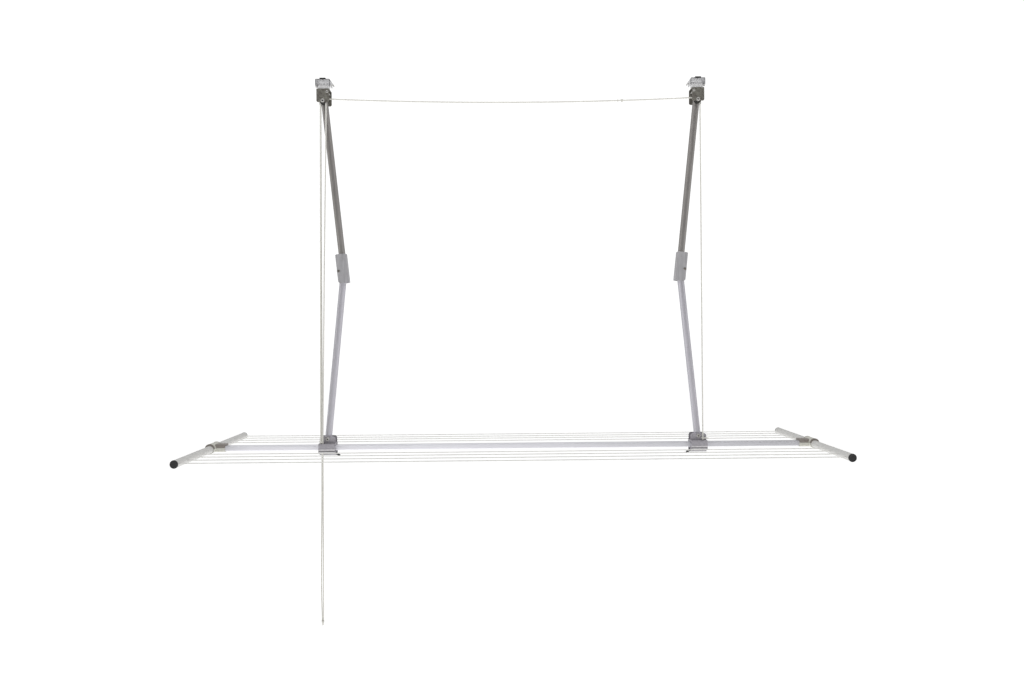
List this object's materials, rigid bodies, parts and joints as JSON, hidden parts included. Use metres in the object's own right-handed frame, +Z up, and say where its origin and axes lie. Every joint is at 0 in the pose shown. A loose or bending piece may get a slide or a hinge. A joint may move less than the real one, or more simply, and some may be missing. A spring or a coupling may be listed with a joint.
{
  "type": "ceiling mounted clothes drying rack",
  "caption": "Ceiling mounted drying rack: a line-strung frame hangs on folding knee arms and is raised and lowered by cords over ceiling pulleys.",
  "frame": {"origin": "on the ceiling plane, midway between the two ceiling brackets", "axes": "+X along the frame's rail to its right end, +Y from the front of the frame to its back, +Z up into the ceiling"},
  "size_m": [1.829, 0.56, 1.627],
  "materials": {
    "rubber": "matte black rubber strip",
    "zinc": "bright zinc plated steel",
    "cast_grey": "dark brown-grey hammered enamel",
    "pin_steel": "plain steel",
    "upper_arm_enamel": "satin grey enamel with a metallic sheen",
    "lower_arm_enamel": "satin pale grey enamel with a metallic sheen",
    "knee_grey": "matte mid grey enamel",
    "clamp_grey": "matte lavender grey die casting",
    "rail_silver": "satin anodised silver, faint lavender",
    "bar_white": "off-white powder coat",
    "tee_cream": "cream brown moulded plastic",
    "black_plastic": "black moulded plastic",
    "line_white": "off-white plastic coated cord",
    "cord_white": "off-white braided cord",
    "sheave_plastic": "off-white nylon"
  },
  "bodies": {
    "root": {"ceiling_pad_left": "rubber", "ceiling_channel_left": "zinc", "hanger_block_left": "zinc", "hanger_pin_left": "pin_steel", "pulley_bracket_left": "cast_grey", "upper_pivot_pin_left": "pin_steel", "guard_pin_left": "pin_steel", "ceiling_pad_right": "rubber", "ceiling_channel_right": "zinc", "hanger_block_right": "zinc", "hanger_pin_right": "pin_steel", "pulley_bracket_right": "cast_grey", "upper_pivot_pin_right": "pin_steel", "guard_pin_right": "pin_steel", "lift_cord_left": "cord_white", "lift_cord_right": "cord_white", "cross_cord": "cord_white", "pull_cord_rear": "cord_white", "pull_cord_front": "cord_white"},
    "sheave_left_front": {"sheave_left_front": "black_plastic"},
    "sheave_left_rear": {"sheave_left_rear": "black_plastic"},
    "sheave_right": {"sheave_right": "black_plastic"},
    "upper_arm_left": {"upper_arm_tube_left": "upper_arm_enamel", "knee_bracket_left": "knee_grey", "knee_pin_left": "pin_steel", "knee_rivet_left": "pin_steel"},
    "lower_arm_left": {"lower_arm_tube_left": "lower_arm_enamel", "knee_lug_left": "knee_grey"},
    "upper_arm_right": {"upper_arm_tube_right": "upper_arm_enamel", "knee_bracket_right": "knee_grey", "knee_pin_right": "pin_steel", "knee_rivet_right": "pin_steel"},
    "lower_arm_right": {"lower_arm_tube_right": "lower_arm_enamel", "knee_lug_right": "knee_grey"},
    "frame": {"rail_bracket_left": "clamp_grey", "lower_pivot_pin_left": "pin_steel", "clamp_jaw_left": "clamp_grey", "tee_fitting_left": "tee_cream", "crossbar_left": "bar_white", "rail_bracket_right": "clamp_grey", "lower_pivot_pin_right": "pin_steel", "clamp_jaw_right": "clamp_grey", "tee_fitting_right": "tee_cream", "crossbar_right": "bar_white", "end_cap_left_front": "black_plastic", "end_cap_left_back": "black_plastic", "end_cap_right_front": "black_plastic", "end_cap_right_back": "black_plastic", "rail": "rail_silver", "drying_line_1": "line_white", "drying_line_2": "line_white", "drying_line_3": "line_white", "drying_line_4": "line_white", "drying_line_5": "line_white", "drying_line_6": "line_white", "drying_line_7": "line_white", "drying_line_8": "line_white"},
    "clamp_lever_left": {"clamp_lever_left": "black_plastic"},
    "clamp_lever_right": {"clamp_lever_right": "black_plastic"},
    "pull_end": {"pull_tip": "sheave_plastic"}
  },
  "joints": [
    {"name": "fold", "type": "hinge", "parent": "root", "child": "upper_arm_left", "pos_m": [-0.555, 0, -0.067], "axis": [0, -1, 0], "range_deg": [0, 78], "deforming": ["lift_cord_left", "lift_cord_right"]},
    {"name": "knee_left", "type": "hinge", "parent": "upper_arm_left", "child": "lower_arm_left", "pos_m": [-0.5168, 0, -0.568], "axis": [0, -1, 0], "range_deg": [-156, 0]},
    {"name": "frame_pivot_left", "type": "hinge", "parent": "lower_arm_left", "child": "frame", "pos_m": [-0.555, 0, -1.069], "axis": [0, -1, 0], "range_deg": [0, 78]},
    {"name": "shoulder_right", "type": "hinge", "parent": "root", "child": "upper_arm_right", "pos_m": [0.555, 0, -0.067], "axis": [0, 1, 0], "range_deg": [0, 78]},
    {"name": "knee_right", "type": "hinge", "parent": "upper_arm_right", "child": "lower_arm_right", "pos_m": [0.5168, 0, -0.568], "axis": [0, 1, 0], "range_deg": [-156, 0]},
    {"name": "pull", "type": "slide", "parent": "root", "child": "pull_end", "axis": [0, 0, -1], "range_m": [0, 0.8685], "deforming": ["pull_cord_rear", "pull_cord_front"]},
    {"name": "spin_left_front", "type": "hinge", "parent": "root", "child": "sheave_left_front", "pos_m": [-0.555, -0.0218, -0.067], "axis": [0, 1, 0], "continuous": true},
    {"name": "spin_left_rear", "type": "hinge", "parent": "root", "child": "sheave_left_rear", "pos_m": [-0.555, -0.0156, -0.067], "axis": [0, 1, 0], "continuous": true},
    {"name": "spin_right", "type": "hinge", "parent": "root", "child": "sheave_right", "pos_m": [0.555, -0.0156, -0.067], "axis": [0, 1, 0], "continuous": true},
    {"name": "lever_left", "type": "hinge", "parent": "frame", "child": "clamp_lever_left", "pos_m": [-0.539, 0, -1.1105], "axis": [0, 1, 0], "range_deg": [0, 80]},
    {"name": "lever_right", "type": "hinge", "parent": "frame", "child": "clamp_lever_right", "pos_m": [0.539, 0, -1.1105], "axis": [0, -1, 0], "range_deg": [0, 80]}
  ],
  "couplings": [
    {"joint": "knee_left", "follows": "fold", "ratio": -2},
    {"joint": "frame_pivot_left", "follows": "fold", "ratio": 1},
    {"joint": "shoulder_right", "follows": "fold", "ratio": 1},
    {"joint": "knee_right", "follows": "fold", "ratio": -2},
    {"joint": "pull", "follows": "fold", "m_per_rad": 0.6379}
  ]
}
